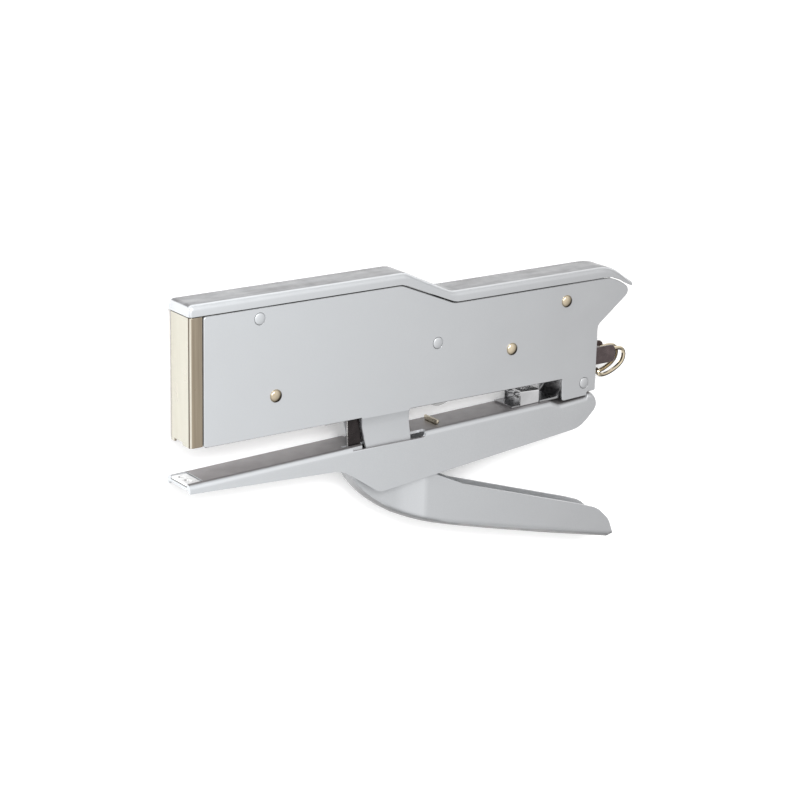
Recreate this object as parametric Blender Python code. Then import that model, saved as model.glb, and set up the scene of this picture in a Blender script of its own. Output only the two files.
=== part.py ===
"""Plier stapler, all metal, lying on its far side.

The tool is drawn in its own plane: x runs from the front plate to the rear, y is the tool's own
"up" (away from the handle) and z is its width, with the mid-plane at z = 0. Every length below is
in millimetres; MM turns it into metres when a mesh is made. WORLD_ORIGIN is the point of the
drawing that becomes the world origin, under the middle of the tool at table height.

Jaw gap and handle are open, as the springs hold them. The pivots are:
  ARM_PIVOT     the lower arm turns on the body's rear tabs
  HANDLE_PIVOT  the handle turns on the body's middle tabs, inside the lower arm
  LEVER_PIVOT   the hammer lever turns between the side plates
"""
import math

import bmesh
import bpy
from mathutils import Vector

MM = 0.001

# Driving dimensions
GAP = 0.3                       # clearance between pieces that touch
BODY_HALF = 6.2                 # half width over the side plates
PLATE = 1.0                     # side plate, cover and arm sheet
ARM_HALF = 6.5                  # half width over the lower arm, the face the tool lies on
ARM_WALL = 0.9
HANDLE_HALF = 5.2
HANDLE_NOSE_HALF = 3.2
HANDLE_WALL = 0.9
TAB_JOGGLE = 0.8                # the middle tabs lean inward to run inside the arm's flanges
BODY_HEIGHT = 39.35             # side plate at the front
BODY_STEP = 31.25               # side plate behind the step
BODY_REAR = 147.2
COVER_GAP = 0.4
COVER_RISE = 3.45               # height of the cover's flank
MAGAZINE_HALF = 3.25
MAGAZINE_WALL = 0.4
MAGAZINE_FLOOR = 0.3
MAGAZINE_TOP = 9.0
RAIL_TOP = 4.6
ROD_Y = 6.2
ROD_RADIUS = 0.55
DRIVER_FRONT = -3.2
DRIVER_BACK = -2.5
LEVER_OUTER = 4.1
LEVER_INNER = 3.5
LEVER_TOP = 30.4
RIVET_RADIUS = 1.6
RIVET_HEAD = 2.0
SPACER_RADIUS = 2.2
PIN_CLEARANCE = 0.15

# Pivots and rivets, as (x, y)
ARM_PIVOT = (142.4, -2.6)
HANDLE_PIVOT = (66.0, -15.5)
LEVER_PIVOT = (133.7, 25.9)
LINK_PIN = (54.0, -15.0)
LOOP_PIVOT = (153.0, 5.1)
FRONT_RIVET = (24.4, 12.0)
REAR_RIVET = (112.2, 13.3)
COVER_RIVET = (18.8, 36.2)
SPACER_RIVET = (83.2, 19.5)

WORLD_ORIGIN = (79.07, -8.05, -ARM_HALF)

CARRIERS = {
    "body": (0.0, 0.0, 0.0),
    "lower_arm": (*ARM_PIVOT, 0.0),
    "handle": (*HANDLE_PIVOT, 0.0),
    "hammer": (*LEVER_PIVOT, 0.0),
    "driver": (DRIVER_BACK, 0.0, 0.0),
    "pusher": (0.0, ROD_Y, 0.0),
    "rod": (BODY_REAR, ROD_Y, 0.0),
    "loop": (*LOOP_PIVOT, 0.0),
}

FINISHES = {
    # name: (colour, roughness, metallic)
    "silver_paint": ((0.63, 0.64, 0.66, 1), 0.42, 0.55),
    "nickel": ((0.78, 0.74, 0.64, 1), 0.22, 1.0),
    "bright_steel": ((0.72, 0.72, 0.72, 1), 0.28, 1.0),
    "chrome": ((0.82, 0.82, 0.83, 1), 0.12, 1.0),
    "dark_steel": ((0.05, 0.045, 0.045, 1), 0.35, 0.85),
    "catch_steel": ((0.10, 0.075, 0.075, 1), 0.45, 0.6),
}


# ---------------------------------------------------------------- outlines

def fillet(corners, steps=4):
    """Outline through (x, y, radius) corners, each rounded by an arc of that radius."""
    points = []
    count = len(corners)
    for index, (x, y, radius) in enumerate(corners):
        here = Vector((x, y))
        before = Vector(corners[index - 1][:2]) - here
        after = Vector(corners[(index + 1) % count][:2]) - here
        angle = before.angle(after)
        if radius <= 0 or angle > math.pi - 0.01:
            points.append((x, y))
            continue
        reach = radius / math.tan(angle / 2)
        reach = min(reach, 0.48 * before.length, 0.48 * after.length)
        actual = reach * math.tan(angle / 2)
        bisector = (before.normalized() + after.normalized()).normalized()
        centre = here + bisector * (actual / math.sin(angle / 2))
        start = here + before.normalized() * reach - centre
        end = here + after.normalized() * reach - centre
        sweep = start.angle_signed(end)
        for step in range(steps + 1):
            turn = -sweep * step / steps
            cosine, sine = math.cos(turn), math.sin(turn)
            points.append((centre.x + start.x * cosine - start.y * sine,
                           centre.y + start.x * sine + start.y * cosine))
    return points


def open_path(corners, steps=4):
    """Rounded polyline whose two end points stay as given."""
    closing = [(corners[-1][0], corners[-1][1] - 500, 0), (corners[0][0], corners[0][1] - 500, 0)]
    return fillet(list(corners) + closing, steps)[:-2]


def height_at(path, x):
    """Height of a polyline that runs in the direction of growing x."""
    for (x0, y0), (x1, y1) in zip(path, path[1:]):
        if x0 <= x <= x1 and x1 > x0:
            return y0 + (y1 - y0) * (x - x0) / (x1 - x0)
    return path[0][1] if x < path[0][0] else path[-1][1]


def circle(centre, radius, count=16):
    step = math.tau / count
    return [(centre[0] + radius * math.cos(i * step), centre[1] + radius * math.sin(i * step))
            for i in range(count)]


def box_outline(x0, y0, x1, y1):
    return [(x0, y0), (x1, y0), (x1, y1), (x0, y1)]


def capsule(x0, x1, y, radius, steps=8):
    """Slot outline between two centres at the same height."""
    right = [(x1 + radius * math.sin(math.pi * i / steps), y - radius * math.cos(math.pi * i / steps))
             for i in range(steps + 1)]
    left = [(x0 - radius * math.sin(math.pi * i / steps), y + radius * math.cos(math.pi * i / steps))
            for i in range(steps + 1)]
    return right + left


# ---------------------------------------------------------------- shapes, as bmeshes in millimetres

def prism(outline, low, high, holes=(), along="z"):
    """Solid of one outline with holes. Outlines are (x, y) along z, (y, z) along x, (x, z) along y."""
    place = {
        "z": lambda a, b, c: (a, b, c),
        "x": lambda a, b, c: (c, a, b),
        "y": lambda a, b, c: (a, c, b),
    }[along]
    shape = bmesh.new()
    edges = []
    for loop in (outline, *holes):
        verts = [shape.verts.new(place(a, b, low)) for a, b in loop]
        edges += [shape.edges.new(pair) for pair in zip(verts, verts[1:] + verts[:1])]
    bmesh.ops.triangle_fill(shape, edges=edges, use_beauty=True)
    bmesh.ops.dissolve_limit(shape, angle_limit=0.001, verts=shape.verts[:], edges=shape.edges[:],
                             use_dissolve_boundaries=False)
    moved = bmesh.ops.extrude_face_region(shape, geom=shape.faces[:])["geom"]
    rise = Vector(place(0, 0, high - low))
    bmesh.ops.translate(shape, vec=rise, verts=[v for v in moved if isinstance(v, bmesh.types.BMVert)])
    bmesh.ops.recalc_face_normals(shape, faces=shape.faces[:])
    return shape


def block(x0, x1, y0, y1, z0, z1):
    return prism(box_outline(x0, y0, x1, y1), z0, z1)


def loft(rings):
    """Closed solid through rings that all have the same number of points."""
    shape = bmesh.new()
    rows = [[shape.verts.new(point) for point in ring] for ring in rings]
    for row, following in zip(rows, rows[1:]):
        for i in range(len(row)):
            j = (i + 1) % len(row)
            shape.faces.new((row[i], row[j], following[j], following[i]))
    shape.faces.new(rows[0])
    shape.faces.new(rows[-1])
    bmesh.ops.recalc_face_normals(shape, faces=shape.faces[:])
    return shape


def merge(*shapes):
    """One bmesh that holds several separate solids."""
    whole = bmesh.new()
    for shape in shapes:
        table = {vert: whole.verts.new(vert.co) for vert in shape.verts}
        for face in shape.faces:
            whole.faces.new([table[vert] for vert in face.verts])
        shape.free()
    return whole


def mirrored(shape):
    """The same shape on the other side of the mid-plane."""
    other = shape.copy()
    for vert in other.verts:
        vert.co.z = -vert.co.z
    bmesh.ops.reverse_faces(other, faces=other.faces[:])
    return other


def arc_corner(web, edge_sign, half, radius, side, steps=3):
    """Quarter bend between a flange at z = side * half and a web at y = web."""
    centre_y = web - edge_sign * radius
    centre_z = side * (half - radius)
    points = []
    for step in range(steps + 1):
        turn = math.pi / 2 * step / steps
        points.append((centre_y + edge_sign * radius * math.sin(turn),
                       centre_z + side * radius * math.cos(turn)))
    return points


def channel_ring(x, web, edge, half, wall, web_wall, bend):
    """Cross-section of a bent channel: web at height web, free edges at height edge."""
    sign = 1 if web > edge else -1
    bend = min(bend, 0.9 * abs(web - edge))
    inner_bend = max(bend - wall, 0.15)
    inner_web = web - sign * web_wall
    if abs(inner_web - edge) < inner_bend + 0.1:
        inner_bend = 0.08
    near = arc_corner(web, sign, half, bend, 1)
    far = arc_corner(web, sign, half, bend, -1)
    near_in = arc_corner(inner_web, sign, half - wall, inner_bend, 1)
    far_in = arc_corner(inner_web, sign, half - wall, inner_bend, -1)
    outside = [(edge, half), *near, *reversed(far), (edge, -half)]
    inside = [(edge, -(half - wall)), *far_in, *reversed(near_in), (edge, half - wall)]
    return [(x, y, z) for y, z in outside + inside]


def cap_ring(x, top, bottom, half, bend):
    """Solid cross-section with two rounded top corners."""
    bend = min(bend, 0.9 * (top - bottom))
    near = arc_corner(top, 1, half, bend, 1)
    far = arc_corner(top, 1, half, bend, -1)
    ring = [(bottom, half), *near, *reversed(far), (bottom, -half)]
    return [(x, y, z) for y, z in ring]


def lathe(profile, centre, along, sides=16):
    """Turned solid. The profile is (distance along the axis, radius), both ends at radius 0."""
    shape = bmesh.new()
    rows = []
    for distance, radius in profile:
        if radius == 0:
            rows.append([shape.verts.new(axis_point(centre, along, distance, 0, 0))])
            continue
        rows.append([shape.verts.new(axis_point(centre, along, distance, radius, math.tau * i / sides))
                     for i in range(sides)])
    for row, following in zip(rows, rows[1:]):
        for i in range(sides):
            j = (i + 1) % sides
            if len(row) == 1:
                shape.faces.new((row[0], following[i], following[j]))
            elif len(following) == 1:
                shape.faces.new((row[i], row[j], following[0]))
            else:
                shape.faces.new((row[i], row[j], following[j], following[i]))
    bmesh.ops.recalc_face_normals(shape, faces=shape.faces[:])
    return shape


def axis_point(centre, along, distance, radius, turn):
    across, over = radius * math.cos(turn), radius * math.sin(turn)
    if along == "z":
        return (centre[0] + across, centre[1] + over, distance)
    return (distance, centre[0] + across, centre[1] + over)


# ---------------------------------------------------------------- objects

def clear_scene():
    for obj in list(bpy.data.objects):
        bpy.data.objects.remove(obj, do_unlink=True)


def make_finish(name):
    material = bpy.data.materials.get(name)
    if material:
        return material
    colour, roughness, metallic = FINISHES[name]
    material = bpy.data.materials.new(name)
    material.use_nodes = True
    shader = material.node_tree.nodes["Principled BSDF"]
    shader.inputs["Base Color"].default_value = colour
    shader.inputs["Roughness"].default_value = roughness
    shader.inputs["Metallic"].default_value = metallic
    material.diffuse_color = colour
    return material


def make_carriers():
    """One empty for each rigid body, on its joint's axis."""
    carriers = {}
    for name, (x, y, z) in CARRIERS.items():
        empty = bpy.data.objects.new("carrier_" + name, None)
        place = Vector((x, y, z)) - Vector(WORLD_ORIGIN)
        empty.location = place * MM
        bpy.context.collection.objects.link(empty)
        carriers[name] = empty
    return carriers


def to_mesh(name, shape, carrier):
    pivot = Vector(CARRIERS[carrier])
    for vert in shape.verts:
        vert.co = (vert.co - pivot) * MM
    mesh = bpy.data.meshes.new(name)
    shape.to_mesh(mesh)
    shape.free()
    return mesh


def place(obj, carrier):
    bpy.context.collection.objects.link(obj)
    obj.parent = bpy.data.objects["carrier_" + carrier]
    return obj


def part(name, shape, carrier, finish, bevel=0.0, segments=1, smooth=True):
    """Named object of one sub-part, with rounded edges where bevel is given."""
    mesh = to_mesh(name, shape, carrier)
    mesh.materials.append(make_finish(finish))
    if smooth:
        mesh.shade_smooth()
        mesh.set_sharp_from_angle(angle=math.radians(32))
    obj = place(bpy.data.objects.new(name, mesh), carrier)
    if bevel:
        edge = obj.modifiers.new("edges", "BEVEL")
        edge.width = bevel * MM
        edge.segments = segments
        edge.limit_method = "ANGLE"
        edge.angle_limit = math.radians(40)
        edge.harden_normals = True
    return obj


def shape_with(obj, shape, operation, label):
    """Cut a shape out of an object, or join it on, before the object's edges are rounded."""
    carrier = obj.parent.name.removeprefix("carrier_")
    tool = place(bpy.data.objects.new(obj.name + "_" + label,
                                      to_mesh(obj.name + "_" + label, shape, carrier)), carrier)
    tool.hide_render = True
    tool.display_type = "WIRE"
    modifier = obj.modifiers.new(label, "BOOLEAN")
    modifier.operation = operation
    modifier.solver = "EXACT"
    modifier.object = tool
    obj.modifiers.move(len(obj.modifiers) - 1, len([m for m in obj.modifiers if m.type == "BOOLEAN"]) - 1)


def cut(obj, shape, label="cutter"):
    shape_with(obj, shape, "DIFFERENCE", label)


def join(obj, shape, label="addition"):
    shape_with(obj, shape, "UNION", label)


def wire(name, points, radius, carrier, finish, cyclic=False, resolution=2):
    """Round wire along a route, as a bevelled curve."""
    pivot = Vector(CARRIERS[carrier])
    curve = bpy.data.curves.new(name, "CURVE")
    curve.dimensions = "3D"
    curve.bevel_depth = radius * MM
    curve.bevel_resolution = resolution
    curve.use_fill_caps = not cyclic
    spline = curve.splines.new("POLY")
    spline.points.add(len(points) - 1)
    for point, target in zip(spline.points, points):
        point.co = (*((Vector(target) - pivot) * MM), 1)
    spline.use_cyclic_u = cyclic
    spline.use_smooth = True
    curve.materials.append(make_finish(finish))
    return place(bpy.data.objects.new(name, curve), carrier)


def spline_route(points, steps=4, cyclic=False):
    """Catmull-Rom curve through a few points."""
    route = []
    count = len(points)
    spans = count if cyclic else count - 1
    for i in range(spans):
        if cyclic:
            p = [Vector(points[(i + k) % count]) for k in (-1, 0, 1, 2)]
        else:
            p = [Vector(points[min(max(i + k, 0), count - 1)]) for k in (-1, 0, 1, 2)]
        for step in range(steps):
            t = step / steps
            route.append(0.5 * (2 * p[1] + (p[2] - p[0]) * t + (2 * p[0] - 5 * p[1] + 4 * p[2] - p[3]) * t ** 2
                                + (3 * p[1] - p[0] - 3 * p[2] + p[3]) * t ** 3))
    if not cyclic:
        route.append(Vector(points[-1]))
    return route


# ---------------------------------------------------------------- body

def side_plate_outline():
    """Stepped side of the body with its middle tab, for the handle, and rear tab, for the arm."""
    tab_bottom = HANDLE_PIVOT[1] - 5.2
    return fillet([
        (0, 0, 0.6), (0, BODY_HEIGHT, 0.8), (69.5, BODY_HEIGHT, 6), (89.4, BODY_STEP, 7),
        (153.1, BODY_STEP, 14), (161.0, 26.3, 2.1), (BODY_REAR, 16.0, 2.4), (BODY_REAR, -5.8, 0.5),
        (143.8, -5.8, 0.3), (143.6, -7.0, 0.4), (133.7, -7.4, 0.6), (133.2, 0, 0.5),
        (73.0, 0, 0.6), (74.4, -10.4, 1.0), (71.2, -12.5, 1.0), (71.2, tab_bottom, 5.1),
        (60.8, tab_bottom, 5.1), (60.8, -11.6, 0.8), (57.7, -10.4, 0.8), (55.3, 0, 0.5)])


def joggle_tab(shape, side):
    """Lean the middle tab inward, from the plate's lower edge to where the arm's flange can reach."""
    start, end = -0.3, -3.6
    for height in (start, end):
        bmesh.ops.bisect_plane(shape, geom=shape.verts[:] + shape.edges[:] + shape.faces[:],
                               plane_co=(0, height, 0), plane_no=(0, 1, 0))
    for vert in shape.verts:
        if vert.co.x < 90:
            lean = min(max((start - vert.co.y) / (start - end), 0), 1)
            vert.co.z -= side * TAB_JOGGLE * lean


def make_side_plate(name, side):
    holes = [circle(centre, RIVET_RADIUS + PIN_CLEARANCE)
             for centre in (FRONT_RIVET, REAR_RIVET, COVER_RIVET, SPACER_RIVET, LEVER_PIVOT, ARM_PIVOT,
                            HANDLE_PIVOT)]
    inner = BODY_HALF - PLATE
    low, high = (inner, BODY_HALF) if side > 0 else (-BODY_HALF, -inner)
    shape = prism(side_plate_outline(), low, high, holes)
    joggle_tab(shape, side)
    return part(name, shape, "body", "silver_paint", bevel=0.25)


def cover_paths():
    top = open_path([(-4.8, BODY_HEIGHT + COVER_GAP + 0.6, 0), (-4.79, BODY_HEIGHT + COVER_GAP + COVER_RISE, 1.5),
                     (71.0, BODY_HEIGHT + COVER_GAP + COVER_RISE, 6), (88.4, 35.05, 8),
                     (152.0, 35.05, 14), (161.5, 28.6, 0)])
    bottom = open_path([(-4.8, BODY_HEIGHT + COVER_GAP, 0), (69.8, BODY_HEIGHT + COVER_GAP, 6),
                        (89.7, BODY_STEP + COVER_GAP, 7), (153.3, BODY_STEP + COVER_GAP, 14),
                        (159.4, 27.9, 0.5), (161.5, 27.4, 0)])
    return top, bottom


COVER_STATIONS = (-4.8, -4.65, -4.3, -3.8, -3.2, 0, 35, 66.5, 68, 69.5, 71, 72.5, 75, 84, 86, 87.5, 89,
                  90.5, 92.5, 100, 120, 140, 144, 147, 149.5, 151.5, 153.5, 155.5, 158, 160, 161)


def cover_half(x):
    """The front corners are rounded in plan."""
    depth = x + 4.8
    if depth >= 1.0:
        return BODY_HALF
    return BODY_HALF - 1.0 + math.sqrt(1.0 - (1.0 - depth) ** 2)


def make_top_cover():
    """Stepped lid with a closed front, held by ears inside the side plates."""
    top, bottom = cover_paths()
    outer = loft([cap_ring(x, height_at(top, x), height_at(bottom, x), cover_half(x), 1.7)
                  for x in COVER_STATIONS])
    inner_stations = [x for x in COVER_STATIONS if x > -3.9] + [162.5]
    inner = loft([cap_ring(x, height_at(top, x) - PLATE, height_at(bottom, x) - 3, BODY_HALF - PLATE, 0.8)
                  for x in inner_stations])
    cover = part("top_cover", outer, "body", "silver_paint", bevel=0.2)
    cut(cover, inner, "hollow")
    front_ear = prism(fillet([(13.6, 32.9, 2), (24.2, 32.9, 2), (24.2, 42.6, 0), (13.6, 42.6, 0)]), 4.1, 4.95,
                      [circle(COVER_RIVET, RIVET_RADIUS + PIN_CLEARANCE)])
    rear_ear = prism(fillet([(129.3, 21.9, 3.9), (138.1, 21.9, 3.9), (138.1, 34.5, 0), (129.3, 34.5, 0)]),
                     2.4, 3.2, [circle(LEVER_PIVOT, RIVET_RADIUS + PIN_CLEARANCE)])
    ears = merge(mirrored(front_ear), front_ear, mirrored(rear_ear), rear_ear)
    join(cover, ears, "ears")
    return cover


def make_front_plate():
    """Nickel channel that guides the driver, with its flanges stepped in between the side plates."""
    half, wall, inner = 5.8, 0.9, 4.95
    near = [(-4.5, half, 1.1), (-0.25, half, 0.2), (-0.25, inner, 0), (10.0, inner, 0),
            (10.0, inner - 0.8, 0), (-1.1, inner - 0.8, 0), (-1.1, half - wall, 0), (-3.6, half - wall, 0.3)]
    far = [(x, -z, r) for x, z, r in reversed(near)]
    plan = fillet(near + far)
    plate = part("front_plate", prism(plan, 0.3, BODY_HEIGHT + 0.05, along="y"), "body", "nickel",
                 bevel=0.12)
    cut(plate, block(-6, -3.3, -1, 1.25, -3.3, 1.2), "notch")
    return plate


def make_magazine():
    """Straight channel that holds the staples, with two stops for the arm under its floor."""
    outline = fillet([(-1.9, MAGAZINE_FLOOR, 0), (42.8, MAGAZINE_FLOOR, 0.5), (43.8, -1.4, 0.8),
                      (50.8, -1.3, 0.3), (51.0, MAGAZINE_FLOOR, 0), (80.2, MAGAZINE_FLOOR, 6), (86.4, -2.5, 6),
                      (92.6, MAGAZINE_FLOOR, 6), (147.0, MAGAZINE_FLOOR, 0), (147.0, MAGAZINE_TOP, 0.6),
                      (-1.9, MAGAZINE_TOP, 0.6)])
    channel = part("magazine_channel", prism(outline, -MAGAZINE_HALF, MAGAZINE_HALF), "body", "bright_steel")
    inside = MAGAZINE_HALF - MAGAZINE_WALL
    cut(channel, block(-3, 148, MAGAZINE_FLOOR + MAGAZINE_WALL, MAGAZINE_TOP + 1, -inside, inside), "bore")
    return channel


def make_staple_rail():
    rail_half, foot = 2.2, MAGAZINE_FLOOR + MAGAZINE_WALL + GAP
    rings = [channel_ring(x, RAIL_TOP, foot, rail_half, 0.5, 0.5, 0.7) for x in (-1.2, 121.0)]
    return part("staple_rail", loft(rings), "body", "bright_steel")


def rivet_profile(dome, shoulder):
    """Through rivet: domed head on the near side, thin flat head on the far side."""
    face = BODY_HALF + 0.05
    foot = -ARM_HALF
    neck = BODY_HALF - PLATE - 0.1
    profile = [(foot, 0), (foot, RIVET_HEAD - 0.1), (foot + 0.1, RIVET_HEAD), (-face, RIVET_HEAD),
               (-face, RIVET_RADIUS)]
    if shoulder > RIVET_RADIUS:
        profile += [(-neck, RIVET_RADIUS), (-neck, shoulder), (neck, shoulder), (neck, RIVET_RADIUS)]
    profile += [(face, RIVET_RADIUS), (face, RIVET_HEAD)]
    for step in range(1, 5):
        turn = math.pi / 2 * step / 5
        profile.append((face + 0.12 + dome * math.sin(turn), RIVET_HEAD * math.cos(turn)))
    profile.append((face + 0.12 + dome, 0))
    return profile


def make_rivets():
    """Bright rivets stand proud; the painted ones are almost flush."""
    bright, painted = 0.75, 0.22
    for name, centre, dome, shoulder, finish in (
            ("front_rivet", FRONT_RIVET, bright, SPACER_RADIUS, "nickel"),
            ("rear_rivet", REAR_RIVET, bright, SPACER_RADIUS, "nickel"),
            ("lever_pivot_rivet", LEVER_PIVOT, bright, RIVET_RADIUS, "nickel"),
            ("cover_rivet", COVER_RIVET, painted, RIVET_RADIUS, "silver_paint"),
            ("spacer_rivet", SPACER_RIVET, painted, SPACER_RADIUS, "silver_paint"),
            ("arm_pivot_rivet", ARM_PIVOT, painted, RIVET_RADIUS, "silver_paint")):
        part(name, lathe(rivet_profile(dome, shoulder), centre, "z"), "body", finish)


def pin_profile(low, high, radius):
    chamfer = 0.2
    return [(low, 0), (low, radius - chamfer), (low + chamfer, radius), (high - chamfer, radius),
            (high, radius - chamfer), (high, 0)]


def make_handle_pivot_pin():
    """Hidden between the lower arm's flanges, flush with the body's middle tabs."""
    return part("handle_pivot_pin", lathe(pin_profile(-5.4, 5.4, RIVET_RADIUS), HANDLE_PIVOT, "z"), "body",
                "bright_steel")


# ---------------------------------------------------------------- lower arm

ARM_FRONT = -5.0
WEB_FRONT = -10.5
WEB_SLOPE = 0.0277
ARM_STATIONS = (ARM_FRONT, -1.5, 2.0, 4.0, 22, 38, 43.5, 45.5, 47.5, 49.5, 51.5, 53.5, 56, 58.5, 59.7, 60.8,
                62, 63.2, 64.6, 67, 83, 100, 128.6, 129.6, 131.8, 133.0, 136, 138, 140, 142, 143.6, 144.3, 145,
                146, 147, 147.6)


def web_height(x):
    """Top of the lower arm's web, open position."""
    return WEB_FRONT + (x - ARM_FRONT) * WEB_SLOPE


def arm_web_path():
    """The web dips under the body's rear tabs and rises again behind them."""
    return open_path([(ARM_FRONT, web_height(ARM_FRONT), 0), (129.2, web_height(129.2), 2), (132.6, -8.3, 1.5),
                      (143.6, -7.55, 0.2), (144.2, -6.35, 0.5), (146.6, -6.5, 1.5), (147.7, -8.6, 0)])


def arm_edge_path():
    """Lower edge of the flanges: slim jaw, deep belly round the handle pivot, rounded heel."""
    return open_path([(ARM_FRONT, -13.2, 0), (48.3, -15.6, 11), (62.2, -25.0, 4), (141.5, -17.4, 9),
                      (147.6, -11.6, 3), (147.7, -9.4, 0)])


def web_wall(x):
    """The jaw is thicker under the anvil."""
    if x <= 2.0:
        return 2.0
    return ARM_WALL


def make_web_slots():
    """Openings for the body's tabs, which take the bend away, and for the lever's leg on the near side."""
    floor, top, end = -10.05, -4, 79.7
    inner, bend, outside = 4.1, 5.2, ARM_HALF + 1
    far_web = fillet([(55.9, inner, 0), (end, inner, 0.6), (end, bend, 0), (55.9, bend, 0)])
    near_web = fillet([(49.7, 3.2, 0), (58.4, 3.2, 0), (58.4, inner, 0), (end, inner, 0.6), (end, bend, 0),
                       (55.9, bend, 0), (55.9, 4.4, 0), (49.7, 4.4, 0)])
    flange = fillet([(55.9, floor, 0), (end, floor, 1.7), (end, top, 0), (55.9, top, 0)])
    near_flange = prism(flange, bend, outside)
    return (merge(mirrored(prism(far_web, floor, top, along="y")), prism(near_web, floor, top, along="y")),
            merge(mirrored(near_flange), near_flange),
            block(52.2, 56.1, floor, top, 5.75, outside))


def make_lower_arm():
    web, edge = arm_web_path(), arm_edge_path()
    rings = [channel_ring(x, height_at(web, x), height_at(edge, x), ARM_HALF, ARM_WALL, web_wall(x), 1.6)
             for x in ARM_STATIONS]
    arm = part("lower_arm", loft(rings), "lower_arm", "silver_paint", bevel=0.15)
    for label, slot in zip(("web_slots", "flange_slots", "front_slit"), make_web_slots()):
        cut(arm, slot, label)
    cut(arm, block(ARM_FRONT - 1, 0.25, web_height(0) - 1.2, -9, -4.65, 4.65), "anvil_pocket")
    cut(arm, block(85.2, 86.8, -12, -4, -3.1, 3.1), "lug_slot")
    return arm


def make_anvil_plate():
    """Hard steel plate with the two grooves that fold the staple's legs."""
    top = web_height(0) - 0.25
    plate = part("anvil_plate", block(ARM_FRONT + 0.05, -0.05, top - 0.8, top, -4.45, 4.45), "lower_arm",
                 "bright_steel", bevel=0.1)
    groove = prism(capsule(-3.3, -2.6, 1.75, 0.55), top - 0.35, top + 1, along="y")
    for vert in groove.verts:
        vert.co.z = 1.75 + (vert.co.z - 1.75) * 2.2
    cut(plate, merge(mirrored(groove), groove), "grooves")
    return plate


def make_pivot_bracket():
    """Steel channel on the arm's web whose ears reach up to the arm's pivot between the side plates."""
    half, front, floor = 4.6, 114.2, web_height(114) + 0.1
    sheet = 0.6
    outline = fillet([(front, floor, 0), (139.0, floor + 0.65, 1), (143.0, -6.3, 2), (146.3, -6.3, 3.6),
                      (146.3, 1.3, 3.9), (138.4, 1.3, 3.9), (132.4, floor + sheet + 0.5, 2),
                      (front, floor + sheet, 0)])
    bracket = part("pivot_bracket", prism(outline, -half, half,
                                          [circle(ARM_PIVOT, RIVET_RADIUS + PIN_CLEARANCE)]),
                   "lower_arm", "chrome")
    cut(bracket, prism([(113, floor + sheet), (132.4, floor + sheet + 0.5), (150, floor + sheet + 0.5), (150, 8),
                        (113, 8)], -3.9, 3.9), "channel")
    notch = block(BOX_FRONT - 0.3, BOX_BACK + 0.3, -9, -5, BOX_HALF - 0.85, 6)
    cut(bracket, merge(mirrored(notch), notch), "notches")
    return bracket


BOX_FRONT = 117.8
BOX_BACK = 125.2
BOX_HALF = 4.45
SPRING_X = 121.6


def make_spring_box():
    """Folded steel box round the arm's return spring, open to the front and the rear."""
    rings = [channel_ring(x, top, web_height(x) + 0.15, BOX_HALF, 0.6, 0.6, 0.7)
             for x, top in ((BOX_FRONT, -1.9), (BOX_BACK, -2.3))]
    box = part("spring_box", loft(rings), "lower_arm", "bright_steel")
    cut(box, prism(circle((SPRING_X, 0.0), 2.95, 20), -4, 0, along="y"), "spring_hole")
    return box


def make_web_lug():
    """Steel lug crimped in the web, the stop that the magazine's floor meets first."""
    outline = [(-9.9, -2.8), (-9.9, 2.8), (-7.9, 2.8), (-7.75, 3.4), (-6.5, 3.4), (-6.5, -3.4), (-7.75, -3.4),
               (-7.9, -2.8)]
    return part("web_lug", prism(outline, 85.6, 86.4, along="x"), "lower_arm", "nickel")


def coil(start, end, radius, turns, across, steps=10):
    """Helix between two points; across are the two directions at right angles to its axis."""
    start, end = Vector(start), Vector(end)
    first, second = Vector(across[0]), Vector(across[1])
    count = int(turns * steps)
    return [start.lerp(end, i / count) + radius * (first * math.cos(math.tau * i / steps)
                                                  + second * math.sin(math.tau * i / steps))
            for i in range(count + 1)]


def make_arm_spring():
    """Opens the jaw: it stands in its box on the arm and presses on the magazine's floor."""
    foot = web_height(SPRING_X) + 1.3
    route = coil((SPRING_X, foot, 0), (SPRING_X, -0.05, 0), 2.35, 3.5, ((1, 0, 0), (0, 0, 1)), 14)
    return wire("arm_spring", route, 0.3, "lower_arm", "chrome")


# ---------------------------------------------------------------- handle

HANDLE_FRONT = 50.8
EAR = (82.6, -11.6)
EAR_RADIUS = 2.3
HANDLE_STATIONS = (HANDLE_FRONT, 51.3, 52.0, 53.0, 54.5, 56.5, 59, 62, 66, 70, 74, 77, 80.2, 80.4, 81.0, 81.8,
                   82.6, 83.4, 84.2, 84.6, 84.85, 85.1, 90, 96, 110, 130, 144, 148, 150.5, 152.5, 154.5, 156,
                   157, 157.8, 158.3, 158.6)


def handle_bottom_path():
    return spline_route([(50.8, -14.6), (53.0, -18.9), (56.0, -23.4), (61.6, -28.8), (71, -35.0),
                         (83, -39.8), (97, -44.0), (120, -50.1), (146, -56.6), (155, -58.8), (157.2, -59.3),
                         (158.2, -58.8), (158.65, -57.8)], 6)


def handle_top_height(x):
    """Free edge of the handle: bearing ear inside the arm, then the grip's long edge."""
    nose = open_path([(HANDLE_FRONT, -13.2, 0), (52.5, -11.2, 1.5), (80.3, -11.6, 0)])
    grip = open_path([(84.9, -23.8, 0), (96.0, -29.1, 20), (144.5, -45.0, 30), (151.8, -47.7, 8),
                      (156.6, -52.4, 6), (158.65, -57.6, 0)], 6)
    if x < EAR[0] - EAR_RADIUS:
        return height_at(nose, x)
    if x < EAR[0] + EAR_RADIUS:
        return EAR[1] + math.sqrt(max(EAR_RADIUS ** 2 - (x - EAR[0]) ** 2, 0))
    return height_at(grip, x)


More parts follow.
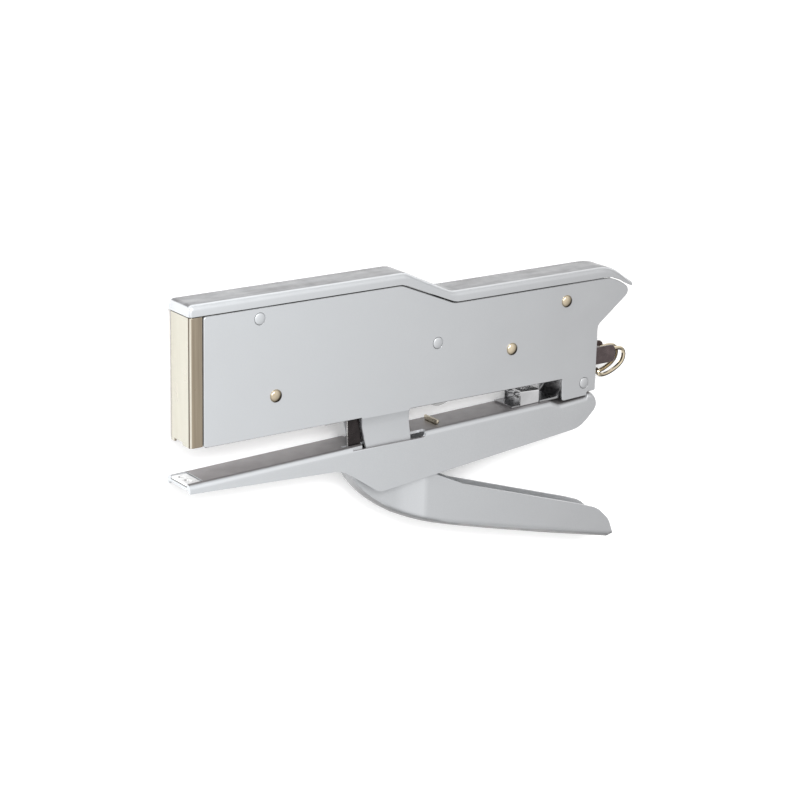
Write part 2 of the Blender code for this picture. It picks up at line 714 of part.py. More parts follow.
def handle_half(x):
    """Narrow between the body's tabs, then as wide as the arm allows, and rounded at the end."""
    start, end = 72.0, 82.0
    if x <= start:
        return HANDLE_NOSE_HALF
    if x < end:
        blend = (x - start) / (end - start)
        blend = blend * blend * (3 - 2 * blend)
        return HANDLE_NOSE_HALF + (HANDLE_HALF - HANDLE_NOSE_HALF) * blend
    return HANDLE_HALF


def make_handle():
    bottom = [(p[0], p[1]) for p in handle_bottom_path()]
    rings = []
    for x in HANDLE_STATIONS:
        low, high = height_at(bottom, x), handle_top_height(x)
        slope = (height_at(bottom, x + 0.5) - height_at(bottom, x - 0.5)) if x > HANDLE_FRONT + 0.5 else -1.9
        floor = min(HANDLE_WALL * math.hypot(1, slope), 0.45 * (high - low))
        rings.append(channel_ring(x, low, high, handle_half(x), HANDLE_WALL, floor, 2.6))
    handle = part("handle", loft(rings), "handle", "silver_paint", bevel=0.15)
    cut(handle, prism(circle(HANDLE_PIVOT, RIVET_RADIUS + PIN_CLEARANCE), -7, 7), "pivot_hole")
    cut(handle, prism(circle(LINK_PIN, 0.9 + PIN_CLEARANCE), -7, 7), "link_hole")
    return handle


def make_link_pin():
    """Short pin from the handle's nose into the slot of the lever's foot."""
    return part("link_pin", lathe(pin_profile(-3.5, 4.6, 0.9), LINK_PIN, "z", 12), "handle", "bright_steel")


# ---------------------------------------------------------------- hammer lever and driver

BEAM_BOTTOM = 24.6


def lever_outline():
    """Beam over the magazine, one leg down to the link pin, and the tongue that works the driver."""
    return fillet([
        (-3.1, 27.9, 0), (-3.1, 29.4, 0.4), (10.5, 29.4, 0.5), (13.0, LEVER_TOP, 1), (138.2, LEVER_TOP, 4.4),
        (138.2, 21.4, 4.4), (129.0, 21.4, 3), (122.0, BEAM_BOTTOM, 3), (61.0, BEAM_BOTTOM, 4), (61.0, 1.6, 1),
        (55.6, 0.6, 0.5), (56.4, -9.0, 1), (57.6, -11.6, 1), (57.6, -17.7, 2.2), (49.6, -17.7, 2.3),
        (51.8, -10.0, 1), (51.4, 1.0, 2), (46.0, 6.0, 2), (46.0, BEAM_BOTTOM, 4),
        (12.0, BEAM_BOTTOM, 1.5), (12.0, 27.9, 0.5)], 3)


def make_hammer_lever():
    """Folded steel channel. Its near side runs down past the magazine to the handle's nose."""
    slot = capsule(52.3, 54.1, LINK_PIN[1], 0.9 + 2 * PIN_CLEARANCE, 6)
    solid = prism(lever_outline(), -LEVER_OUTER, LEVER_OUTER,
                  [circle(LEVER_PIVOT, RIVET_RADIUS + 0.1), slot])
    lever = part("hammer_lever", solid, "hammer", "dark_steel")
    web = LEVER_TOP - 1.2
    hollow = prism([(13.6, -30), (145, -30), (145, 35), (121, 35), (121, web), (13.6, web)],
                   -LEVER_INNER, LEVER_INNER)
    cut(lever, hollow, "hollow")
    cut(lever, block(30, 70, -30, BEAM_BOTTOM, -8, 0), "far_side")
    trim = block(-6, 11.6, 20, 35, 2.0, 8)
    cut(lever, merge(mirrored(trim), trim), "tongue_sides")
    return lever


def make_lever_spring():
    """Torsion spring on the lever's pivot: one arm under the lever's web, one on the rear rivet."""
    radius, wire_radius, turns = 2.6, 0.35, 3.5
    centre = Vector((*LEVER_PIVOT, 0))
    steps = 14
    count = int(turns * steps)
    reach = 1.7
    route = [Vector((114.0, 28.4, -reach)), Vector((124.0, 28.45, -reach))]
    for i in range(count + 1):
        turn = math.pi / 2 - math.tau * i / steps
        route.append(centre + Vector((radius * math.cos(turn), radius * math.sin(turn),
                                      reach * (2 * i / count - 1))))
    route += [Vector((124.0, 20.0, reach)), Vector((113.6, 16.0, reach))]
    return wire("lever_spring", route, wire_radius, "body", "bright_steel")


def make_driver_blade():
    """Blade behind the front plate, hung on the lever's tongue."""
    bottom, top, half = 5.6, 33.5, 2.8
    window = box_outline(27.3, -2.2, 30.2, 2.2)
    return part("driver_blade", prism(box_outline(bottom, -half, top, half), DRIVER_FRONT, DRIVER_BACK, [window],
                                      along="x"), "driver", "bright_steel")


# ---------------------------------------------------------------- staple pusher and its rear catch

SHOE_FRONT = -1.7
SHOE_BACK = 9.6
CATCH_FRONT = BODY_REAR + 1.2
CATCH_REAR = 157.5
LOOP_WIRE = 0.7


def make_pusher_shoe():
    half, foot = 2.6, RAIL_TOP + 0.35
    outline = fillet([(foot, -half, 0.3), (8.3, -half, 0.8), (8.3, half, 0.8), (foot, half, 0.3)])
    return part("pusher_shoe", prism(outline, SHOE_FRONT, SHOE_BACK, [circle((ROD_Y, 0), ROD_RADIUS + GAP, 16)],
                                     along="x"), "pusher", "dark_steel", bevel=0.12)


def make_pusher_rod():
    """Thin rod through the shoe and the spring, set in the catch's front wall."""
    end = CATCH_FRONT + 1.1
    profile = [(0.2, 0), (0.2, ROD_RADIUS - 0.15), (0.4, ROD_RADIUS), (end, ROD_RADIUS), (end, 0)]
    return part("pusher_rod", lathe(profile, (ROD_Y, 0), "x", 12), "rod", "bright_steel")


def make_pusher_spring():
    route = coil((SHOE_BACK + 0.35, ROD_Y, 0), (CATCH_FRONT - 0.3, ROD_Y, 0), 1.22, 34,
                 ((0, 1, 0), (0, 0, 1)), 8)
    return wire("pusher_spring", route, 0.17, "rod", "bright_steel", resolution=0)


def make_catch():
    """Folded catch that closes the magazine, with an eye for the pull loop."""
    outline = fillet([(CATCH_FRONT, 1.75, 0.4), (CATCH_REAR, 1.75, 1.3), (CATCH_REAR, 7.55, 2.0),
                      (CATCH_FRONT, 7.55, 0.4)])
    catch = part("rear_catch", prism(outline, -3.5, 3.5), "rod", "catch_steel", bevel=0.15)
    cut(catch, block(CATCH_FRONT + 1.5, CATCH_REAR + 2, 2.6, 9, -2.75, 2.75), "hollow")
    x, y = LOOP_PIVOT
    eye = prism(fillet([(CATCH_FRONT + 1.2, y - 1.6, 0), (x + 1.6, y - 1.6, 1.55), (x + 1.6, y + 1.6, 1.55),
                        (CATCH_FRONT + 1.2, y + 1.6, 0)]), -0.9, 0.9, [circle(LOOP_PIVOT, LOOP_WIRE + PIN_CLEARANCE, 16)])
    join(catch, eye, "eye")
    cut(catch, prism(circle((ROD_Y, 0), ROD_RADIUS + PIN_CLEARANCE, 12), CATCH_FRONT - 1, CATCH_FRONT + 1.25,
                     along="x"), "rod_hole")
    return catch


def make_pull_loop():
    """Closed wire loop that hangs on the catch and curls under it."""
    x, y = LOOP_PIVOT
    half = 1.85
    side = [(x + 1.1, y), (158.4, 5.7), (161.3, 5.2), (162.4, 3.4), (161.9, 1.2), (160.3, -0.4),
            (158.0, -1.6), (155.8, -2.35), (153.5, -2.65), (151.9, -2.0)]
    end = (152.0, -0.9)
    near = [(x, y, 0.0), (x, y, half - 0.7), (x + 0.25, y, half - 0.1)]
    near += [(a, b, half) for a, b in side] + [(end[0], end[1] - 0.2, half - 0.3), (*end, 0.8)]
    far = [(a, b, -c) for a, b, c in reversed(near[1:])]
    return wire("pull_loop", spline_route(near + far, 3, cyclic=True), LOOP_WIRE, "loop", "nickel", cyclic=True,
                resolution=2)


# ---------------------------------------------------------------- whole tool

def build():
    clear_scene()
    make_carriers()
    make_side_plate("side_plate_near", 1)
    make_side_plate("side_plate_far", -1)
    make_top_cover()
    make_front_plate()
    make_magazine()
    make_staple_rail()
    make_rivets()
    make_handle_pivot_pin()
    make_lower_arm()
    make_anvil_plate()
    make_pivot_bracket()
    make_spring_box()
    make_web_lug()
    make_arm_spring()
    make_handle()
    make_link_pin()
    make_hammer_lever()
    make_lever_spring()
    make_driver_blade()
    make_pusher_shoe()
    make_pusher_rod()
    make_pusher_spring()
    make_catch()
    make_pull_loop()


build()
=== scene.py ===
"""Looks for the plier stapler: metal finishes, finer round pieces, floor, lights and camera.

Lengths are in metres in the row frame: X to the tool's rear, Y to the top of its body, Z through
its width. The tool lies on its far side, on the floor at Z = 0.
"""
import math

import bmesh
import bpy
from mathutils import Matrix, Vector


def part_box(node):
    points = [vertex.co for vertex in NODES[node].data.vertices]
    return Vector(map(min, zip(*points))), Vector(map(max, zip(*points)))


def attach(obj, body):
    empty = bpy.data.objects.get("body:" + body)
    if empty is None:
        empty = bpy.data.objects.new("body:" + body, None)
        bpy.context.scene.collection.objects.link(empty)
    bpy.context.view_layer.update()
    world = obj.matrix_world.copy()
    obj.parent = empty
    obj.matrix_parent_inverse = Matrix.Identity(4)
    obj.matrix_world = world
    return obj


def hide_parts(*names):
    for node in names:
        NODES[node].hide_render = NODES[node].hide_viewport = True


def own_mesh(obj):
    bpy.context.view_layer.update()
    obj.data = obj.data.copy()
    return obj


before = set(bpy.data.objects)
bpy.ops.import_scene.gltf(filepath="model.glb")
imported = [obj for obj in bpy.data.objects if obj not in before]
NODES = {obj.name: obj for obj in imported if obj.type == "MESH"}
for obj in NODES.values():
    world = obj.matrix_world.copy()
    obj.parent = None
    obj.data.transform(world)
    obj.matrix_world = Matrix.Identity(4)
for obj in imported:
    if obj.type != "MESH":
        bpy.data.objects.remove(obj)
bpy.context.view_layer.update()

MM = 0.001
MID_Z = 6.5 * MM                # middle of the tool's width
CREASE = math.radians(32)       # bends over this stay sharp in the shading

# Noise runs from 0 to 1, mostly between these two
NOISE_LOW, NOISE_HIGH = 0.3, 0.7

# Colours, linear
PAINT = (0.59, 0.61, 0.63)
PAINT_REAR_SHADE = (0.42, 0.425, 0.435)
PAINT_CLOUD = (0.54, 0.55, 0.56)
PAINT_FLAKE = (0.74, 0.75, 0.76)
WEB_PAINTED_SHADE = (0.22, 0.20, 0.20)
TOP_PAINTED_SHADE = (0.13, 0.13, 0.135)
UNDERSIDE_PAINTED_SHADE = (0.10, 0.095, 0.095)
FRONT_FACE = (0.55, 0.535, 0.47)
FRONT_FOLD_PAINTED_SHADE = (0.055, 0.035, 0.025)
FRONT_PAINTED_HIGHLIGHT = (0.9, 0.88, 0.8)
FRONT_SIDE_PAINTED_SHEEN = (0.85, 0.82, 0.72)
FRONT_STREAK = (0.42, 0.36, 0.27)
RIVET_PAINTED_SHADE = (0.05, 0.034, 0.022)
RIVET_NICKEL = (0.70, 0.60, 0.44)
LOOP_NICKEL = (0.62, 0.54, 0.40)
NICKEL = (0.72, 0.66, 0.53)
NICKEL_TARNISH_AND_REFLECTION = (0.30, 0.25, 0.19)
STEEL = (0.60, 0.60, 0.60)
CHROME = (0.74, 0.74, 0.75)
BLUED_AND_PAINTED_SHADE = (0.022, 0.018, 0.018)
CATCH_BROWN_AND_PAINTED_SHADE = (0.085, 0.066, 0.066)

# Turned and wire pieces carry painted shade where they face this way, to the rear and down
SHADE_SIDE = (0.72, -0.62, -0.1)


# ---------------------------------------------------------------- material building blocks

class Graph:
    """Small helper round one material's node tree."""

    def __init__(self, name, roughness, metallic):
        self.material = bpy.data.materials.new(name)
        self.material.use_nodes = True
        self.tree = self.material.node_tree
        self.shader = self.tree.nodes["Principled BSDF"]
        self.shader.inputs["Roughness"].default_value = roughness
        self.shader.inputs["Metallic"].default_value = metallic
        self.position = self.add("ShaderNodeTexCoord").outputs["Object"]

    def add(self, kind, **settings):
        node = self.tree.nodes.new(kind)
        for key, value in settings.items():
            setattr(node, key, value)
        return node

    def link(self, output, socket):
        self.tree.links.new(output, socket)

    def stretched(self, scale):
        mapping = self.add("ShaderNodeMapping")
        mapping.inputs["Scale"].default_value = scale
        self.link(self.position, mapping.inputs["Vector"])
        return mapping.outputs["Vector"]

    def noise(self, scale, detail=3.0, stretch=(1, 1, 1)):
        node = self.add("ShaderNodeTexNoise")
        node.inputs["Scale"].default_value = scale
        node.inputs["Detail"].default_value = detail
        self.link(self.stretched(stretch), node.inputs["Vector"])
        return node.outputs["Fac"]

    def ramp(self, value, low, high, start=0.0, end=1.0):
        """Low where value is start, high where it is end, held outside them."""
        node = self.add("ShaderNodeMapRange")
        node.inputs["From Min"].default_value = start
        node.inputs["From Max"].default_value = end
        node.inputs["To Min"].default_value = low
        node.inputs["To Max"].default_value = high
        self.link(value, node.inputs["Value"])
        return node.outputs["Result"]

    def mix(self, factor, first, second):
        node = self.add("ShaderNodeMix", data_type="RGBA")
        self.link(factor, node.inputs["Factor"])
        for socket, colour in ((node.inputs[6], first), (node.inputs[7], second)):
            if isinstance(colour, tuple):
                socket.default_value = (*colour, 1)
            else:
                self.link(colour, socket)
        return node.outputs[2]

    def axis(self, index):
        """Place along X, Y or Z, in metres."""
        node = self.add("ShaderNodeSeparateXYZ")
        self.link(self.position, node.inputs["Vector"])
        return node.outputs[index]

    def normal(self, index):
        """How far the surface faces along X, Y or Z, from -1 to 1."""
        node = self.add("ShaderNodeSeparateXYZ")
        self.link(self.add("ShaderNodeNewGeometry").outputs["Normal"], node.inputs["Vector"])
        return node.outputs[index]

    def faces_sideways(self):
        """1 on a face that looks along the tool's width, 0 on one that looks across it."""
        node = self.add("ShaderNodeMath", operation="ABSOLUTE")
        self.link(self.normal(2), node.inputs[0])
        return node.outputs[0]

    def times(self, first, second):
        node = self.add("ShaderNodeMath", operation="MULTIPLY")
        self.link(first, node.inputs[0])
        self.link(second, node.inputs[1])
        return node.outputs[0]

    def bump(self, height, strength, distance):
        node = self.add("ShaderNodeBump")
        node.inputs["Strength"].default_value = strength
        node.inputs["Distance"].default_value = distance
        self.link(height, node.inputs["Height"])
        self.link(node.outputs["Normal"], self.shader.inputs["Normal"])

    def colour(self, output):
        self.link(output, self.shader.inputs["Base Color"])

    def roughness(self, output):
        self.link(output, self.shader.inputs["Roughness"])


def silver_lacquer(name, painted_web_shade=False, painted_top_shade=False):
    """Satin silver lacquer: fine flake, faint orange peel, and painted shade that makes it a little darker
    towards the rear.
    """
    g = Graph(name, 0.34, 0.62)
    g.shader.inputs["Coat Weight"].default_value = 0.2
    g.shader.inputs["Coat Roughness"].default_value = 0.18
    # Painted shade: the lacquer grows a little darker towards the rear.
    rear_shade = g.ramp(g.axis(0), 0.0, 1.0, -0.08, 0.08)
    base = g.mix(rear_shade, PAINT, PAINT_REAR_SHADE)
    cloud = g.ramp(g.noise(55, 4), 0.0, 0.22, 0.35, 0.7)
    base = g.mix(cloud, base, PAINT_CLOUD)
    flake = g.noise(5200, 1)
    base = g.mix(g.ramp(flake, 0.0, 0.16, 0.45, 0.75), base, PAINT_FLAKE)
    # Painted shade and painted reflection: the upward web of the arm is darkened, most towards the front.
    if painted_web_shade:
        shade_facing = g.ramp(g.normal(1), 0.0, 1.0, 0.82, 0.96)
        web_shade_fade = g.ramp(g.axis(0), 0.92, 0.72, -0.08, 0.06)
        base = g.mix(g.times(shade_facing, web_shade_fade), base, WEB_PAINTED_SHADE)
    # Painted shade: faces that look to the top of the body are darkened to grey, in uneven patches.
    if painted_top_shade:
        flat = g.ramp(g.faces_sideways(), 1.0, 0.0, 0.10, 0.34)
        upward = g.ramp(g.normal(1), 0.0, 1.0, 0.35, 0.7)
        top_shade_mottle = g.ramp(g.noise(260, 5, (0.25, 1, 1)), 0.82, 1.0, 0.35, 0.6)
        base = g.mix(g.times(g.times(flat, upward), top_shade_mottle), base, TOP_PAINTED_SHADE)
    # Painted shade: faces that look down are darkened.
    underside_shade = g.ramp(g.normal(1), 0.0, 0.86, -0.25, -0.75)
    base = g.mix(underside_shade, base, UNDERSIDE_PAINTED_SHADE)
    g.colour(base)
    g.roughness(g.ramp(g.noise(240, 3), 0.30, 0.43, NOISE_LOW, NOISE_HIGH))
    g.bump(g.noise(1500, 2), 0.10, 0.06 * MM)
    return g.material


def plated(name, colour, tint, low=0.12, high=0.26, grain=(1, 1, 1), depth=0.02 * MM, scale=900,
           side_shade=None):
    """Bright plating or bare steel, with fine rolling marks, slight tarnish and painted shade on the low
    sides.
    """
    g = Graph(name, 0.2, 1.0)
    tarnish_and_shade = g.ramp(g.noise(130, 5), 0.0, 0.6, 0.35, 0.75)
    base = g.mix(tarnish_and_shade, colour, tint)
    # Painted shade: the sides that face to the rear and down are darkened.
    if side_shade:
        shade_facing = g.add("ShaderNodeVectorMath", operation="DOT_PRODUCT")
        shade_facing.inputs[1].default_value = SHADE_SIDE
        g.link(g.add("ShaderNodeNewGeometry").outputs["Normal"], shade_facing.inputs[0])
        base = g.mix(g.ramp(shade_facing.outputs["Value"], 0.0, 1.0, -0.02, 0.16), base, side_shade)
    g.colour(base)
    marks = g.noise(scale, 4, grain)
    g.roughness(g.ramp(marks, low, high, NOISE_LOW, NOISE_HIGH))
    g.bump(marks, 0.25, depth)
    return g.material


def blackened(name, colour, edge):
    """Blued sheet, darkened further as painted shade of the dark inside of the body, whose sheared edges show
    bright steel.
    """
    g = Graph(name, 0.24, 0.7)
    sheared = g.ramp(g.faces_sideways(), 1.0, 0.0, 0.2, 0.75)
    blotch = g.ramp(g.noise(420, 4), 0.0, 0.5, 0.4, 0.8)
    face = g.mix(blotch, colour, tuple(min(1.0, c * 2.2) for c in colour))
    g.colour(g.mix(sheared, face, edge))
    g.roughness(g.ramp(g.noise(1300, 3, (1, 6, 1)), 0.16, 0.34, NOISE_LOW, NOISE_HIGH))
    g.bump(g.noise(2600, 2), 0.12, 0.03 * MM)
    return g.material


def folded_nickel(name):
    """Front plate: pale plain face, a painted shade line and a painted highlight line round the fold, and
    sides painted a brown reflection tone.
    """
    g = Graph(name, 0.3, 0.9)
    across = g.faces_sideways()
    # Painted light by facing: a dark painted shade line and a bright painted highlight round the fold, then a
    # brown painted reflection on the sides.
    fold_painted_light = g.add("ShaderNodeValToRGB")
    stops = ((0.0, FRONT_FACE), (0.07, FRONT_FACE), (0.2, FRONT_FOLD_PAINTED_SHADE), (0.45, FRONT_FOLD_PAINTED_SHADE),
             (0.62, FRONT_PAINTED_HIGHLIGHT), (0.8, FRONT_SIDE_PAINTED_SHEEN), (0.93, NICKEL_TARNISH_AND_REFLECTION), (1.0, NICKEL_TARNISH_AND_REFLECTION))
    ramp = fold_painted_light.color_ramp
    while len(ramp.elements) < len(stops):
        ramp.elements.new(0.5)
    for element, (place, colour) in zip(ramp.elements, stops):
        element.position = place
        element.color = (*colour, 1)
    g.link(across, fold_painted_light.inputs["Fac"])
    side = g.ramp(across, 0.12, 0.75, 0.1, 0.9)
    streak = g.times(g.ramp(g.noise(900, 3, (1, 0.03, 1)), 0.0, 1.0, 0.35, 0.75), side)
    g.colour(g.mix(streak, fold_painted_light.outputs["Color"], FRONT_STREAK))
    g.roughness(g.ramp(g.noise(500, 4, (1, 0.2, 1)), 0.26, 0.42, NOISE_LOW, NOISE_HIGH))
    g.bump(g.noise(1400, 3, (1, 0.3, 1)), 0.2, 0.04 * MM)
    return g.material


MATERIALS = {
    "cover_paint": silver_lacquer("silver_lacquer_cover", painted_top_shade=True),
    "paint": silver_lacquer("silver_lacquer"),
    "arm_paint": silver_lacquer("silver_lacquer_arm", painted_web_shade=True),
    "nickel": plated("nickel_plate", NICKEL, NICKEL_TARNISH_AND_REFLECTION, 0.14, 0.30),
    "rivet_nickel": plated("rivet_nickel", RIVET_NICKEL, NICKEL_TARNISH_AND_REFLECTION, 0.08, 0.18, side_shade=RIVET_PAINTED_SHADE),
    "loop_nickel": plated("loop_nickel", LOOP_NICKEL, NICKEL_TARNISH_AND_REFLECTION, 0.10, 0.2, side_shade=RIVET_PAINTED_SHADE),
    "front": folded_nickel("nickel_front"),
    "anvil": plated("polished_anvil", (0.86, 0.86, 0.86), (0.6, 0.6, 0.6), 0.25, 0.4),
    "steel": plated("zinc_steel", STEEL, (0.34, 0.33, 0.32), 0.2, 0.38, (0.05, 1, 1)),
    "chrome": plated("chrome_plate", CHROME, (0.5, 0.5, 0.5), 0.07, 0.16),
    # Painted shade: the bracket and the spring are made darker, with near-black patches, for the deep shade
    # in and round the spring box.
    "bracket": plated("chrome_darkened_as_shade", (0.50, 0.50, 0.51), (0.12, 0.115, 0.115), 0.12, 0.26, (0.2, 1, 1)),
    "spring": plated("spring_darkened_as_shade", (0.62, 0.62, 0.63), (0.16, 0.15, 0.15), 0.12, 0.22),
    # Painted shade: the hammer lever and rear catch are made near black, partly for their blued finish and
    # partly for the dark inside of the body.
    "black": blackened("blackened_steel", BLUED_AND_PAINTED_SHADE, (0.62, 0.61, 0.60)),
    "catch": blackened("catch_finish", CATCH_BROWN_AND_PAINTED_SHADE, (0.13, 0.11, 0.11)),
}

NODE_FINISH = {
    "side_plate_near": "paint", "side_plate_far": "paint", "top_cover": "cover_paint", "front_plate": "front",
    "magazine_channel": "steel", "staple_rail": "steel", "front_rivet": "nickel", "rear_rivet": "nickel",
    "lever_pivot_rivet": "nickel", "cover_rivet": "paint", "spacer_rivet": "paint",
    "arm_pivot_rivet": "paint", "handle_pivot_pin": "steel", "lever_spring": "spring",
    "lower_arm": "arm_paint", "anvil_plate": "anvil", "pivot_bracket": "bracket", "spring_box": "chrome",
    "web_lug": "nickel", "arm_spring": "spring", "handle": "paint", "link_pin": "steel",
    "hammer_lever": "black", "driver_blade": "steel", "pusher_rod": "steel", "rear_catch": "catch",
    "pusher_spring": "spring", "pusher_shoe": "black", "pull_loop": "loop_nickel",
}


# How far the sheared and pressed edges of each sheet are rounded over
EDGE_ROUND = {
    "side_plate_near": 0.12 * MM, "side_plate_far": 0.12 * MM, "top_cover": 0.1 * MM,
    "lower_arm": 0.12 * MM, "handle": 0.15 * MM, "front_plate": 0.1 * MM, "spring_box": 0.05 * MM,
    "pivot_bracket": 0.08 * MM, "hammer_lever": 0.06 * MM, "magazine_channel": 0.05 * MM,
    "web_lug": 0.06 * MM,
}
EDGE_SEGMENTS = 2
EDGE_ANGLE = math.radians(40)
FLAT_ANGLE = math.radians(0.5)
JOIN_WITHIN = 1e-6

# Wire pieces, round all over
SOFT_SHADED = {"arm_spring", "lever_spring", "pusher_spring", "pull_loop"}


def crease_group():
    """Geometry nodes that shade a mesh smooth and keep its bends over CREASE sharp."""
    group = bpy.data.node_groups.new("crease_by_angle", "GeometryNodeTree")
    group.interface.new_socket("Geometry", in_out="INPUT", socket_type="NodeSocketGeometry")
    group.interface.new_socket("Geometry", in_out="OUTPUT", socket_type="NodeSocketGeometry")
    enter = group.nodes.new("NodeGroupInput")
    leave = group.nodes.new("NodeGroupOutput")
    angle = group.nodes.new("GeometryNodeInputMeshEdgeAngle")
    steep = group.nodes.new("FunctionNodeCompare")
    steep.operation = "GREATER_THAN"
    steep.inputs[1].default_value = CREASE
    smooth = group.nodes.new("GeometryNodeSetShadeSmooth")
    sharp = group.nodes.new("GeometryNodeSetShadeSmooth")
    sharp.domain = "EDGE"
    sharp.inputs["Shade Smooth"].default_value = False
    group.links.new(enter.outputs[0], smooth.inputs["Geometry"])
    group.links.new(smooth.outputs[0], sharp.inputs["Geometry"])
    group.links.new(angle.outputs["Unsigned Angle"], steep.inputs[0])
    group.links.new(steep.outputs[0], sharp.inputs["Selection"])
    group.links.new(sharp.outputs[0], leave.inputs[0])
    return group


def round_edges(obj, width):
    flatten = obj.modifiers.new("flatten", "DECIMATE")
    flatten.decimate_type = "DISSOLVE"
    flatten.angle_limit = FLAT_ANGLE
    bevel = obj.modifiers.new("edge_round", "BEVEL")
    bevel.width = width
    bevel.segments = EDGE_SEGMENTS
    bevel.limit_method = "ANGLE"
    bevel.angle_limit = EDGE_ANGLE
    bevel.use_clamp_overlap = True


def finish_nodes():
    """Give every CAD node its finish, joined-up vertices and smooth round faces."""
    creases = crease_group()
    for name, obj in NODES.items():
        obj.data.materials.clear()
        obj.data.materials.append(MATERIALS[NODE_FINISH[name]])
        weld = obj.modifiers.new("weld", "WELD")
        weld.merge_threshold = JOIN_WITHIN
        if name in EDGE_ROUND:
            round_edges(obj, EDGE_ROUND[name])
        obj.modifiers.new("creases", "NODES").node_group = creases
        if name in SOFT_SHADED:
            continue
        weighted = obj.modifiers.new("weighted", "WEIGHTED_NORMAL")
        weighted.keep_sharp = True
        weighted.weight = 100


# ---------------------------------------------------------------- finer round pieces

DOME_STEPS = 10
ROUND_STEPS = 64
ROUND_CREASE = math.radians(50)
RIVETS = {
    "front_rivet": "rivet_nickel", "rear_rivet": "rivet_nickel", "lever_pivot_rivet": "rivet_nickel",
    "cover_rivet": "paint", "spacer_rivet": "paint", "arm_pivot_rivet": "paint",
}
SHANK = 1.6 * MM
SHEET = 1.0 * MM
COLLAR_GAP = 0.1 * MM
FOOT_CHAMFER = 0.15 * MM
FOOT_EDGE = 0.1 * MM
DOME_LIP = 0.06 * MM
PAINTED_HEAD = 0.9              # a painted head's share of its rivet's full radius

PUSHER_TRAVEL = 100 * MM
ARM_SPRING_KEEP = 0.74          # its height with the jaw shut, as a share of its height at rest


def lathe_piece(name, profile, centre, finish):
    """Solid turned about Z through centre; profile is (z, radius) from the far end to the near."""
    mesh = bpy.data.meshes.new(name)
    grid = bmesh.new()
    rings = [[grid.verts.new((centre[0] + radius * math.cos(math.tau * k / ROUND_STEPS),
                              centre[1] + radius * math.sin(math.tau * k / ROUND_STEPS), z))
              for k in range(ROUND_STEPS)] for z, radius in profile]
    for low, high in zip(rings, rings[1:]):
        for k in range(ROUND_STEPS):
            after = (k + 1) % ROUND_STEPS
            grid.faces.new((low[k], low[after], high[after], high[k]))
    grid.faces.new(list(reversed(rings[0])))
    grid.faces.new(rings[-1])
    grid.to_mesh(mesh)
    grid.free()
    mesh.shade_smooth()
    mesh.set_sharp_from_angle(angle=ROUND_CREASE)
    mesh.materials.append(MATERIALS[finish])
    piece = bpy.data.objects.new(name, mesh)
    bpy.context.collection.objects.link(piece)
    return piece


def dome_profile(base, top, radius, lip):
    """Low dome from its lip at base up to top, as (z, radius) pairs."""
    profile = [(base, radius), (base + lip, radius)]
    for step in range(1, DOME_STEPS):
        turn = step / DOME_STEPS * math.pi / 2
        profile.append((base + lip + (top - base - lip) * math.sin(turn), radius * math.cos(turn)))
    return profile


def rivet_profile(low, high, radius, head, near_face, far_face):
    """Flat foot on the far side, shank with a collar if the rivet has one, dome on the near side."""
    profile = [(low[2], radius - FOOT_CHAMFER), (low[2] + FOOT_EDGE, radius), (far_face, radius),
               (far_face, SHANK)]
    collar = (high[0] - low[0]) / 2
    if collar > 1.025 * radius:
        start = far_face + SHEET + COLLAR_GAP
        end = near_face - SHEET - COLLAR_GAP
        profile += [(start, SHANK), (start, collar), (end, collar), (end, SHANK)]
    profile.append((near_face, SHANK))
    return profile + dome_profile(near_face, high[2], head, DOME_LIP)


def make_rivets():
    near_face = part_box("side_plate_near")[1][2]
    far_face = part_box("side_plate_far")[0][2]
    plain_low, plain_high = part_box("cover_rivet")
    radius = (plain_high[0] - plain_low[0]) / 2
    for name, finish in RIVETS.items():
        low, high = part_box(name)
        centre = ((low[0] + high[0]) / 2, (low[1] + high[1]) / 2)
        head = radius * PAINTED_HEAD if finish == "paint" else radius
        profile = rivet_profile(low, high, radius, head, near_face, far_face)
        piece = lathe_piece(name + "_turned", profile, centre, finish)
        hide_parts(name)
        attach(piece, "body")


def make_springs():
    """Springs as smooth welded copies of their CAD nodes, carried by the bodies that hold them."""
    arm_low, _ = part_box("arm_spring")
    rod_low, rod_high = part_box("pusher_spring")
    shoe_gap = rod_high[0] - rod_low[0]
    for name, body, joint, axis, anchor, keep in (
            ("arm_spring", "lower_arm", "arm_close", (0, 1, 0), (arm_low[0], arm_low[1], MID_Z),
             ARM_SPRING_KEEP),
            ("pusher_spring", "rod", "pusher_slide", (1, 0, 0), (rod_high[0], rod_low[1], MID_Z),
             (shoe_gap - PUSHER_TRAVEL) / shoe_gap)):
        node = NODES[name]
        piece = bpy.data.objects.new(name + "_wire", welded_copy(node))
        bpy.context.collection.objects.link(piece)
        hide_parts(name)
        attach(piece, body)
        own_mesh(piece)


def welded_copy(node):
    """Mesh of a CAD node with its shared corners joined, smooth all over."""
    grid = bmesh.new()
    grid.from_mesh(node.data)
    bmesh.ops.remove_doubles(grid, verts=grid.verts, dist=JOIN_WITHIN)
    mesh = bpy.data.meshes.new(node.name + "_wire")
    grid.to_mesh(mesh)
    grid.free()
    mesh.shade_smooth()
    mesh.materials.append(MATERIALS[NODE_FINISH[node.name]])
    return mesh


# ---------------------------------------------------------------- stage, lights, camera

CAMERA_PLACE = Vector((-0.41287, 0.22595, 0.5745))
CAMERA_RIGHT = Vector((0.8161, 0.0210, 0.5776))
CAMERA_BACK = Vector((-0.5568, 0.2962, 0.7760))
LENS = 106.65                   # in mm, as is the sensor
SENSOR = 36
FLOOR_HALF = 6.0
FLOOR_GLOW = 0.18
TENT_BRIGHT = Vector((-0.35, 0.35, 0.9))
TENT_FROM, TENT_TO = -0.25, 0.95
TENT_DIM, TENT_FULL = 0.25, 1.25
KEY_SIDE = Vector((-0.25, 0.62, 0.9))


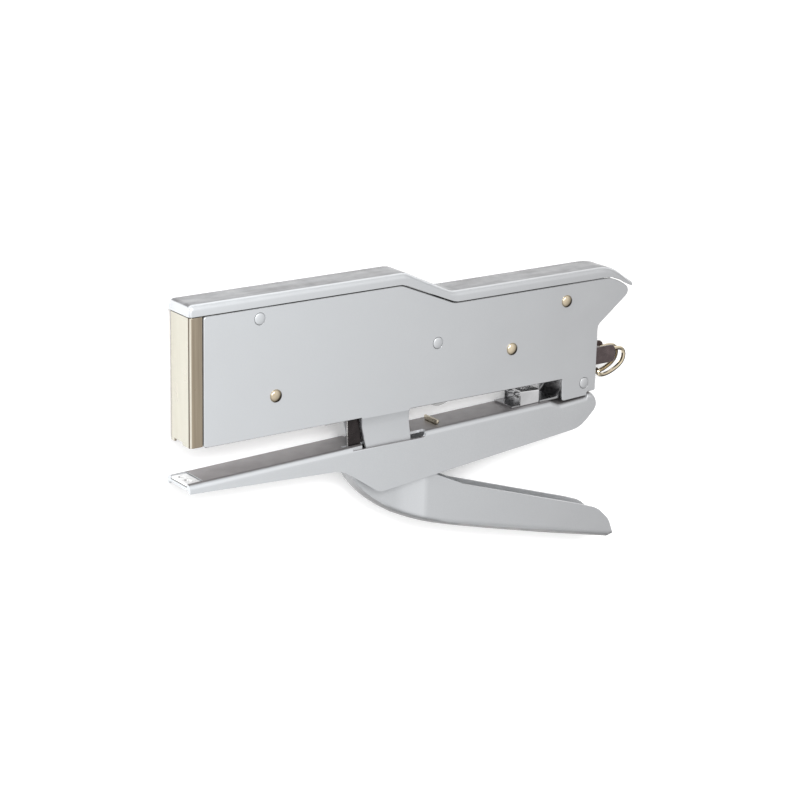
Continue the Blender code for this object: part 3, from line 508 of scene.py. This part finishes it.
def frame_axes():
    back = CAMERA_BACK.normalized()
    right = (CAMERA_RIGHT - back * CAMERA_RIGHT.dot(back)).normalized()
    return right, back.cross(right), back


def make_camera():
    right, up, back = frame_axes()
    camera = bpy.data.cameras.new("camera")
    camera.lens = LENS
    camera.sensor_width = SENSOR
    camera.clip_start = 0.01
    camera.clip_end = 20
    obj = bpy.data.objects.new("camera", camera)
    turn = Matrix((right, up, back)).transposed().to_4x4()
    obj.matrix_world = Matrix.Translation(CAMERA_PLACE) @ turn
    bpy.context.collection.objects.link(obj)
    bpy.context.scene.camera = obj


def make_floor():
    mesh = bpy.data.meshes.new("floor")
    corners = [(x * FLOOR_HALF, y * FLOOR_HALF, 0) for x, y in ((-1, -1), (1, -1), (1, 1), (-1, 1))]
    mesh.from_pydata(corners, [], [(0, 1, 2, 3)])
    floor = bpy.data.objects.new("floor", mesh)
    bpy.context.collection.objects.link(floor)
    g = Graph("pale_floor", 0.9, 0.0)
    g.colour(g.mix(g.noise(3, 2), (0.93, 0.93, 0.93), (0.95, 0.95, 0.95)))
    g.shader.inputs["Emission Color"].default_value = (1, 1, 1, 1)
    g.shader.inputs["Emission Strength"].default_value = FLOOR_GLOW
    mesh.materials.append(g.material)


def area_light(name, direction, distance, size, power):
    light = bpy.data.lights.new(name, "AREA")
    light.shape = "DISK"
    light.size = size
    light.energy = power
    obj = bpy.data.objects.new(name, light)
    direction = direction.normalized()
    obj.location = direction * distance
    obj.rotation_euler = direction.to_track_quat("Z", "Y").to_euler()
    bpy.context.collection.objects.link(obj)


def make_world():
    """A white tent that is brightest above the tool's front top edge and dim on the other side."""
    world = bpy.data.worlds.new("studio")
    world.use_nodes = True
    tree = world.node_tree
    direction = tree.nodes.new("ShaderNodeTexCoord").outputs["Generated"]
    toward = tree.nodes.new("ShaderNodeVectorMath")
    toward.operation = "DOT_PRODUCT"
    toward.inputs[1].default_value = TENT_BRIGHT.normalized()
    tree.links.new(direction, toward.inputs[0])
    level = tree.nodes.new("ShaderNodeMapRange")
    level.interpolation_type = "SMOOTHSTEP"
    level.inputs["From Min"].default_value = TENT_FROM
    level.inputs["From Max"].default_value = TENT_TO
    level.inputs["To Min"].default_value = TENT_DIM
    level.inputs["To Max"].default_value = TENT_FULL
    tree.links.new(toward.outputs["Value"], level.inputs["Value"])
    background = tree.nodes["Background"]
    background.inputs["Color"].default_value = (1, 1, 1, 1)
    tree.links.new(level.outputs["Result"], background.inputs["Strength"])
    bpy.context.scene.world = world


def make_lights():
    right, up, back = frame_axes()
    make_world()
    area_light("key", KEY_SIDE, distance=1.6, size=0.55, power=12)
    area_light("fill", right * -0.15 + up * 0.05 + back, distance=1.8, size=0.9, power=7)


make_camera()
make_floor()
make_lights()
finish_nodes()
make_rivets()
make_springs()
bpy.context.scene.view_settings.view_transform = "Standard"
